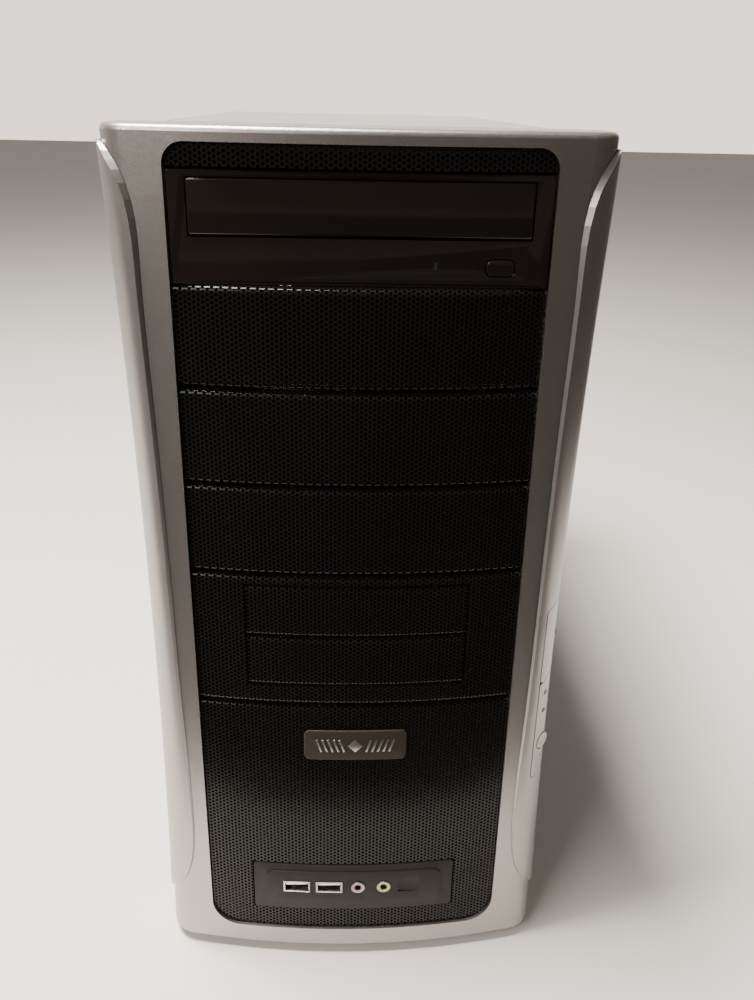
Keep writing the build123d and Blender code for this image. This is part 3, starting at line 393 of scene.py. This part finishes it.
def fill(shape, count, step):
    # repeats everything in the mesh along a step, doubling as it goes
    cell = bmesh.new()
    source = bpy.data.meshes.new("cell")
    shape.to_mesh(source)
    cell.from_mesh(source)
    bpy.data.meshes.remove(source)
    done = 1
    while done < count:
        take = min(done, count - done)
        if take < done:
            part = bpy.data.meshes.new("part")
            cell.to_mesh(part)
            for number in range(take):
                before = len(shape.verts)
                shape.from_mesh(part)
                shape.verts.ensure_lookup_table()
                bmesh.ops.translate(shape, verts=shape.verts[before:], vec=step * (done + number))
            bpy.data.meshes.remove(part)
        else:
            copied = bmesh.ops.duplicate(shape, geom=shape.faces[:] + shape.verts[:] + shape.edges[:])
            verts = [item for item in copied["geom"] if isinstance(item, bmesh.types.BMVert)]
            bmesh.ops.translate(shape, verts=verts, vec=step * done)
        done += take
    cell.free()


def cutAlong(shape, left, right, low, high, clear):
    # cuts the sheet along the four sides of a rectangle, and may clear what is outside
    for point, normal in (
        ((left, 0, 0), (-1, 0, 0)), ((right, 0, 0), (1, 0, 0)),
        ((0, 0, low), (0, 0, -1)), ((0, 0, high), (0, 0, 1)),
    ):
        bmesh.ops.bisect_plane(
            shape, geom=shape.faces[:] + shape.edges[:] + shape.verts[:],
            plane_co=point, plane_no=normal, clear_outer=clear, dist=1e-6,
        )


def openUp(shape, left, right, low, high):
    # cuts a rectangular opening in the sheet
    cutAlong(shape, left, right, low, high, False)
    inside = [
        face for face in shape.faces
        if left < face.calc_center_median().x < right and low < face.calc_center_median().z < high
    ]
    bmesh.ops.delete(shape, geom=inside, context="FACES")


def roundOff(shape, halfWidth, edge, radius, upward):
    # draws the sheet's two corners at one end in to a radius
    sign = 1 if upward else -1
    centreX, centreZ = halfWidth - radius, edge - sign * radius

    def past(co):
        across, along = abs(co.x) - centreX, (co.z - centreZ) * sign
        return across > 0 and along > 0 and math.hypot(across, along) > radius

    outside = [face for face in shape.faces if all(past(vert.co) for vert in face.verts)]
    bmesh.ops.delete(shape, geom=outside, context="FACES")
    for vert in shape.verts:
        if past(vert.co):
            across, along = abs(vert.co.x) - centreX, (vert.co.z - centreZ) * sign
            share = radius / math.hypot(across, along)
            vert.co.x = math.copysign(centreX + across * share, vert.co.x)
            vert.co.z = centreZ + sign * along * share


def rollAndBow(shape, height, face, rollTop=True, rollLow=True):
    # bends the flat sheet: round its rolled edges, then to the bow of the front
    roll = meshSettings["roll"]
    straight = height / 2 - roll
    for vert in shape.verts:
        past = abs(vert.co.z) - straight
        back = 0.0
        rolled = rollTop if vert.co.z > 0 else rollLow
        if past > 0 and rolled:
            turn = min(past / roll, math.pi / 2)
            along = straight + roll * math.sin(turn)
            back = roll * (1 - math.cos(turn)) + max(past - roll * math.pi / 2, 0.0)
            vert.co.z = math.copysign(along, vert.co.z)
        vert.co.y = face + bow(vert.co.x) + back


def thicken(shape):
    bmesh.ops.remove_doubles(shape, verts=shape.verts, dist=1e-5)
    bmesh.ops.dissolve_degenerate(shape, edges=shape.edges[:], dist=2e-6)
    bmesh.ops.recalc_face_normals(shape, faces=shape.faces)
    bmesh.ops.solidify(shape, geom=shape.faces[:], thickness=meshSettings["sheet"])
    bmesh.ops.recalc_face_normals(shape, faces=shape.faces)


def meshSection(name, node, rollTop=True, rollLow=True, corners=None, opening=None):
    low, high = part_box(node)
    width, height, middle = high[0] - low[0], high[2] - low[2], (high[2] + low[2]) / 2
    roll, back = meshSettings["roll"], meshSettings["return"]
    extra = roll * (math.pi / 2 - 1) + back
    above, below = (extra if rollTop else 0.0), (extra if rollLow else 0.0)
    shape = holedSheet(width, height + 2 * extra)
    cutAlong(shape, -width / 2, width / 2, -height / 2 - below, height / 2 + above, True)
    if corners:
        for radius, upward in corners:
            edge = height / 2 + above if upward else -height / 2 - below
            roundOff(shape, width / 2, edge, radius, upward)
    if opening:
        left, right, bottom, upper = opening
        openUp(shape, left, right, bottom - middle, upper - middle)
    rollAndBow(shape, height, low[1], rollTop, rollLow)
    bmesh.ops.translate(shape, verts=shape.verts, vec=(0, 0, middle))
    thicken(shape)
    return newPiece(name, shape, finishes["black_mesh"], "tower", (node,), 50.0)


def holeRound(low, high):
    # an opening with a gap left round what stands in it
    gap = meshSettings["gap"]
    return low[0] - gap, high[0] + gap, low[2] - gap, high[2] + gap


def buildMeshFront():
    sections = []
    for number in (1, 2, 3):
        sections.append(meshSection(f"bayCoverMesh{number}", f"bay_cover_{number}"))
    for number in (1, 2):
        sections.append(meshSection(f"smallBayMesh{number}", f"small_bay_cover_{number}"))
    hole = holeRound(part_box("small_bay_cover_2")[0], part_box("small_bay_cover_1")[1])
    sections.append(meshSection("smallBaySurround", "small_bay_panel", opening=hole))
    corners = ((meshSettings["topCorner"], True),)
    sections.append(meshSection("topStripMesh", "top_mesh_strip", False, False, corners))
    hole = holeRound(*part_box("port_panel"))
    corners = ((meshSettings["lowCorner"], False),)
    sections.append(meshSection("lowerFasciaMesh", "lower_mesh_fascia", True, False, corners, hole))
    print("perforated sections:", [(piece.name, len(piece.data.polygons)) for piece in sections])


buildMeshFront()


sharpAngle = math.radians(40)  # edges sharper than this are rounded


def roundEdges(shape, edges, width, segments=2):
    bmesh.ops.bevel(
        shape, geom=edges, offset=width, affect="EDGES", segments=segments,
        profile=0.5, material=-1, clamp_overlap=True,
    )


def isSharp(edge):
    return edge.is_valid and len(edge.link_faces) == 2 and edge.calc_face_angle() > sharpAngle


def softened(name, node, slotName, width, body="tower", segments=3):
    # a copy of a CAD piece with its sharp edges rounded over
    shape = bmesh.new()
    shape.from_mesh(nodes[node].data)
    bmesh.ops.remove_doubles(shape, verts=shape.verts, dist=1e-6)
    bmesh.ops.dissolve_limit(shape, angle_limit=math.radians(1.0), verts=shape.verts, edges=shape.edges)
    roundEdges(shape, [edge for edge in shape.edges if isSharp(edge)], width, segments)
    return newPiece(name, shape, finishes[slotName], body, (node,), 30.0)


driveSettings = {
    "doorEdge": 0.0009, "bezelEdge": 0.0006, "buttonEdge": 0.0007,
    "sillDepth": 0.012, "sillBack": 0.0008, "sillEdge": 0.0002, "sillGap": 0.00005,
}


def bar(name, low, high, edge, slotName):
    # a small moulded bar between two corners, its edges rounded
    shape = bmesh.new()
    bmesh.ops.create_cube(shape, size=1.0)
    bmesh.ops.scale(shape, verts=shape.verts, vec=[b - a for a, b in zip(low, high)])
    bmesh.ops.translate(shape, verts=shape.verts, vec=[(a + b) / 2 for a, b in zip(low, high)])
    roundEdges(shape, shape.edges[:], edge)
    return newPiece(name, shape, finishes[slotName])


def buildDriveFront():
    softened("trayDoor", "drive_tray_front", "gloss_black", driveSettings["doorEdge"], "drive_tray")
    softened("driveSurround", "drive_bezel", "gloss_black", driveSettings["bezelEdge"])
    softened("ejectKey", "eject_button", "gloss_black", driveSettings["buttonEdge"], "eject_button")
    low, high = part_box("drive_bezel")
    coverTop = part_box("bay_cover_1")[1][2]
    front = low[1] + driveSettings["sillBack"]
    gap = driveSettings["sillGap"]
    sillLow = (low[0], front, coverTop + gap)
    sillHigh = (high[0], front + driveSettings["sillDepth"], low[2] - gap)
    bar("driveSill", sillLow, sillHigh, driveSettings["sillEdge"], "black_plastic")
    print("drive front rounded")


def flatRing(width, height, wall, segments=0):
    # a flat ring in the XY plane, round when it is given segments
    shape = bmesh.new()
    if segments:
        bmesh.ops.create_circle(shape, cap_ends=True, segments=segments, radius=width / 2)
    else:
        bmesh.ops.create_grid(shape, x_segments=1, y_segments=1, size=0.5)
        bmesh.ops.scale(shape, verts=shape.verts, vec=(width, height, 1))
    ring = bmesh.ops.inset_individual(shape, faces=shape.faces[:], thickness=wall)["faces"]
    bmesh.ops.delete(shape, geom=[face for face in shape.faces if face not in ring], context="FACES")
    return shape


def addBar(shape, x, y, width, height, turn=0.0):
    grid = bmesh.ops.create_grid(shape, x_segments=1, y_segments=1, size=0.5)["verts"]
    bmesh.ops.scale(shape, verts=grid, vec=(width, height, 1))
    bmesh.ops.rotate(shape, verts=grid, matrix=Matrix.Rotation(math.radians(turn), 3, "Z"))
    bmesh.ops.translate(shape, verts=grid, vec=(x, y, 0))


def raised(shape, thickness, edge):
    # gives a flat shape its thickness towards +Z and a rounded edge
    bmesh.ops.recalc_face_normals(shape, faces=shape.faces)
    if sum(face.normal.z for face in shape.faces) < 0:
        bmesh.ops.reverse_faces(shape, faces=shape.faces[:])
    flat = bmesh.ops.extrude_face_region(shape, geom=shape.faces[:])["geom"]
    top = [item for item in flat if isinstance(item, bmesh.types.BMVert)]
    bmesh.ops.translate(shape, verts=top, vec=(0, 0, thickness))
    bmesh.ops.recalc_face_normals(shape, faces=shape.faces)
    rim = [item for item in flat if isinstance(item, bmesh.types.BMEdge)]
    roundEdges(shape, [item for item in rim if isSharp(item)], edge)


def standUp(shape, x, z, face):
    # turns a flat shape to face the front, on the bowed surface
    bmesh.ops.rotate(shape, verts=shape.verts, matrix=Matrix.Rotation(math.radians(90), 3, "X"))
    bmesh.ops.translate(shape, verts=shape.verts, vec=(x, 0, z))
    for vert in shape.verts:
        vert.co.y += face + bow(vert.co.x)


badgeSettings = {
    "edge": 0.0005, "inset": 0.0019, "raise": 0.0004, "markEdge": 0.0001, "sink": 0.00005,
    "gem": 0.0052,  # side of the middle diamond
    "stripe": 0.001, "stripes": 5, "pitch": 0.0028, "start": 0.0065, "lean": 18.0,
    "length": 0.55,  # of a stripe, as a share of the height inside the inset
}


def buildBadge():
    low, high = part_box("badge_plate")
    plate = softened("badgePlate", "badge_plate", "charcoal_plastic", badgeSettings["edge"])
    plate.data.materials[0] = badgeBrown
    length = (high[2] - low[2] - 2 * badgeSettings["inset"]) * badgeSettings["length"]
    shape = bmesh.new()
    for side in (-1, 1):
        for number in range(badgeSettings["stripes"]):
            place = side * (badgeSettings["start"] + number * badgeSettings["pitch"])
            addBar(shape, place, 0.0, badgeSettings["stripe"], length, -side * badgeSettings["lean"])
    addBar(shape, 0.0, 0.0, badgeSettings["gem"], badgeSettings["gem"], 45.0)
    raised(shape, badgeSettings["raise"], badgeSettings["markEdge"])
    standUp(shape, (low[0] + high[0]) / 2, (low[2] + high[2]) / 2, low[1] + badgeSettings["sink"])
    newPiece("badgeMark", shape, dullNickel)
    print("badge made")


portSettings = {
    "usb": (0.0131, 0.0059), "rim": 0.0008, "grow": 0.001, "rimEdge": 0.00022,
    "jack": 0.0072, "jackRim": 0.0015, "jackEdge": 0.00025,
    "proud": 0.0006, "lift": 0.00005, "panelEdge": 0.0005,
}


def buildPorts():
    softened("portPlate", "port_panel", "charcoal_plastic", portSettings["panelEdge"], segments=2)
    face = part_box("port_panel")[0][1] - portSettings["lift"]
    low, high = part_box("usb_sockets")
    width, height = portSettings["usb"]
    grow, proud = portSettings["grow"], portSettings["proud"]
    middle = (low[2] + high[2]) / 2
    for name, x in (("usbRimLeft", low[0] + width / 2), ("usbRimRight", high[0] - width / 2)):
        shape = flatRing(width + grow, height + grow, portSettings["rim"])
        raised(shape, proud, portSettings["rimEdge"])
        standUp(shape, x, middle, face)
        newPiece(name, shape, dullNickel)
    for name, node, finish in (
        ("headphoneRing", "headphone_jack", finishes["jack_metal"]),
        ("microphoneRing", "microphone_jack", greenPlate),
    ):
        low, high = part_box(node)
        shape = flatRing(portSettings["jack"], 0, portSettings["jackRim"], 40)
        raised(shape, proud, portSettings["jackEdge"])
        standUp(shape, (low[0] + high[0]) / 2, (low[2] + high[2]) / 2, face)
        newPiece(name, shape, finish)
    print("port rims made")


cornerRun = Vector((math.sqrt(0.5), math.sqrt(0.5), 0.0))  # along the corner that the controls sit on
cornerOut = Vector((math.sqrt(0.5), -math.sqrt(0.5), 0.0))


def onCorner(shape, node, place):
    # lays a flat shape on a control's outside, at the height and run of a place
    _, spot, _, _ = nodes[node].ray_cast(Vector(place) + cornerOut * markSettings["reach"], -cornerOut)
    turn = Matrix((cornerRun, Vector((0, 0, 1)), cornerOut)).transposed().to_4x4()
    move = Matrix.Translation(spot - cornerOut * markSettings["sink"])
    bmesh.ops.transform(shape, matrix=move @ turn, verts=shape.verts)


def middleOf(node):
    low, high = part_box(node)
    return Vector([(a + b) / 2 for a, b in zip(low, high)])


markSettings = {
    "ring": 0.0030, "line": 0.0004, "bar": 0.0013,
    "gapFrom": 0.0009,  # the ring is open above this height
    "dot": 0.0011, "raise": 0.00014, "edge": 0.00003, "sink": 0.00006,
    "reach": 0.05,  # distance the face is looked for from
    "lampDot": 0.0052,  # from a lamp to its dot
    "lampRadius": 0.0013,
    "lampsFrom": 0.07,  # the lamps on the corner are right of here, the drive's is left of it
    "resetDot": 0.0095,  # from the button's middle down to its dot
}


def buildControlMarks():
    line, gapFrom = markSettings["line"], markSettings["gapFrom"]
    shape = flatRing(markSettings["ring"], 0, line, 32)
    above = [face for face in shape.faces if face.calc_center_median().y > gapFrom]
    bmesh.ops.delete(shape, geom=above, context="FACES")
    addBar(shape, 0, gapFrom, line, markSettings["bar"])
    raised(shape, markSettings["raise"], markSettings["edge"])
    onCorner(shape, "power_button", middleOf("power_button"))
    newPiece("powerMark", shape, finishes["charcoal_plastic"], "power_button")
    lamps = [vert.co for vert in nodes["indicator_lights"].data.vertices]
    lamps = [place for place in lamps if place.x > markSettings["lampsFrom"]]
    heights = [place.z for place in lamps]
    spots = [middleOf("reset_button") - Vector((0, 0, markSettings["resetDot"]))]
    for z in (max(heights) - markSettings["lampRadius"], min(heights) + markSettings["lampRadius"]):
        spots.append(Vector((lamps[0].x, lamps[0].y, z)) + cornerRun * markSettings["lampDot"])
    for number, spot in enumerate(spots, 1):
        shape = bmesh.new()
        bmesh.ops.create_circle(shape, cap_ends=True, segments=20, radius=markSettings["dot"] / 2)
        raised(shape, markSettings["raise"], markSettings["edge"])
        onCorner(shape, "control_plate", spot)
        newPiece(f"controlDot{number}", shape, finishes["charcoal_plastic"])
    print("control marks made")


buildDriveFront()
buildBadge()
buildPorts()
buildControlMarks()


stageSettings = {"floor": (0.86, 0.83, 0.8), "size": 9.0}


def buildFloor():
    finish = Finish("paleFloor", Roughness=0.75)
    cloud = finish.noise(3.0, 5.0)
    shade = [channel * 0.94 for channel in stageSettings["floor"]]
    finish.feed(Base_Color=finish.tint(cloud, tuple(shade), stageSettings["floor"]))
    shape = bmesh.new()
    bmesh.ops.create_grid(shape, x_segments=1, y_segments=1, size=stageSettings["size"])
    mesh = bpy.data.meshes.new("floor")
    shape.to_mesh(mesh)
    shape.free()
    floor = bpy.data.objects.new("floor", mesh)
    bpy.context.scene.collection.objects.link(floor)
    mesh.materials.append(finish.material)


flagSettings = {
    "ahead": {"middle": (0.0, -1.815, 0.03), "size": (5.0, 3.0), "turn": 0.0},
    "right": {"middle": (0.55, -0.3, 0.5), "size": (0.9, 1.3), "turn": 90.0},
}


def buildFlags():
    # black cards keep the floor's bounce off the front and the right side, unseen by the camera
    finish = Finish("flagCloth", Roughness=0.9)
    weave = finish.noise(400.0)
    finish.feed(Base_Color=finish.tint(weave, (0.012, 0.01, 0.009), (0.02, 0.018, 0.016)))
    for name, settings in flagSettings.items():
        shape = bmesh.new()
        bmesh.ops.create_grid(shape, x_segments=1, y_segments=1, size=0.5)
        bmesh.ops.scale(shape, verts=shape.verts, vec=(*settings["size"], 1))
        turn = Matrix.Rotation(math.radians(settings["turn"]), 3, "Y")
        bmesh.ops.rotate(shape, verts=shape.verts, matrix=turn)
        bmesh.ops.translate(shape, verts=shape.verts, vec=settings["middle"])
        mesh = bpy.data.meshes.new(f"{name}Flag")
        shape.to_mesh(mesh)
        shape.free()
        flag = bpy.data.objects.new(f"{name}Flag", mesh)
        bpy.context.scene.collection.objects.link(flag)
        mesh.materials.append(finish.material)
        flag.visible_camera = False
        flag.visible_shadow = False


lightSettings = {
    "overhead": {"at": (-0.45, -0.15, 1.7), "aim": (0.0, -0.1, 0.2), "size": 0.6, "power": 105.0},
    "front": {"at": (-1.6, -1.9, 1.5), "aim": (0.0, 0.0, 0.25), "size": 1.2, "power": 46.0},
    "ahead": (0.14, 0.12, 0.105),  # room on the camera's side and overhead
    "behind": (1.9, 1.72, 1.6),  # pale wall beyond the object
    "wallSide": (2.2, 0.3),  # how sharply the wall begins to either side, and how far round
    "wallTop": (1.6, 3.0),  # where it ends going up, and how sharply
    "tint": (1.0, 0.95, 0.88),
}


def buildLights():
    for name in ("overhead", "front"):
        settings = lightSettings[name]
        data = bpy.data.lights.new(name, "AREA")
        data.shape = "SQUARE"
        data.size = settings["size"]
        data.energy = settings["power"]
        data.color = lightSettings["tint"]
        lamp = bpy.data.objects.new(name, data)
        bpy.context.scene.collection.objects.link(lamp)
        lamp.location = settings["at"]
        aim = Vector(settings["aim"]) - Vector(settings["at"])
        lamp.rotation_euler = aim.to_track_quat("-Z", "Y").to_euler()
    world = bpy.data.worlds.new("room")
    bpy.context.scene.world = world
    world.use_nodes = True
    tree = world.node_tree
    ray = tree.nodes.new("ShaderNodeTexCoord")
    split = tree.nodes.new("ShaderNodeSeparateXYZ")
    tree.links.new(ray.outputs["Generated"], split.inputs["Vector"])
    height = Val(tree, split.outputs["Z"])
    sideSlope, sideStart = lightSettings["wallSide"]
    topStart, topSlope = lightSettings["wallTop"]
    beyond = (Val(tree, split.outputs["Y"]) * sideSlope - sideStart).clamp()
    wall = beyond * (topStart - height * topSlope).clamp()
    blend = tree.nodes.new("ShaderNodeMix")
    blend.data_type = "RGBA"
    blend.inputs[6].default_value = (*lightSettings["ahead"], 1.0)
    blend.inputs[7].default_value = (*lightSettings["behind"], 1.0)
    tree.links.new(wall.socket, blend.inputs[0])
    tree.links.new(blend.outputs[2], tree.nodes["Background"].inputs["Color"])


cameraSettings = {
    "at": (-0.00759, -0.3608, 0.4299),  # from the foremost line of the bezel
    "yaw": 2.469, "pitch": 23.663, "roll": 1.241, "lens": 32.94,
}


def buildCamera():
    yaw, pitch, roll = (math.radians(cameraSettings[name]) for name in ("yaw", "pitch", "roll"))
    ahead = Vector((math.sin(yaw) * math.cos(pitch), math.cos(yaw) * math.cos(pitch), -math.sin(pitch)))
    level = Vector((math.cos(yaw), -math.sin(yaw), 0.0))
    upright = level.cross(ahead)
    right = level * math.cos(roll) + upright * math.sin(roll)
    over = upright * math.cos(roll) - level * math.sin(roll)
    data = bpy.data.cameras.new("camera")
    data.sensor_width = 36.0
    data.lens = cameraSettings["lens"]
    data.clip_start = 0.01
    camera = bpy.data.objects.new("camera", data)
    bpy.context.scene.collection.objects.link(camera)
    turn = Matrix((right, over, -ahead)).transposed().to_4x4()
    at = Vector(cameraSettings["at"]) + Vector((0, noseY, 0))
    camera.matrix_world = Matrix.Translation(at) @ turn
    bpy.context.scene.camera = camera


buildFloor()
buildFlags()
buildLights()
buildCamera()
print("floor, lights and camera placed")
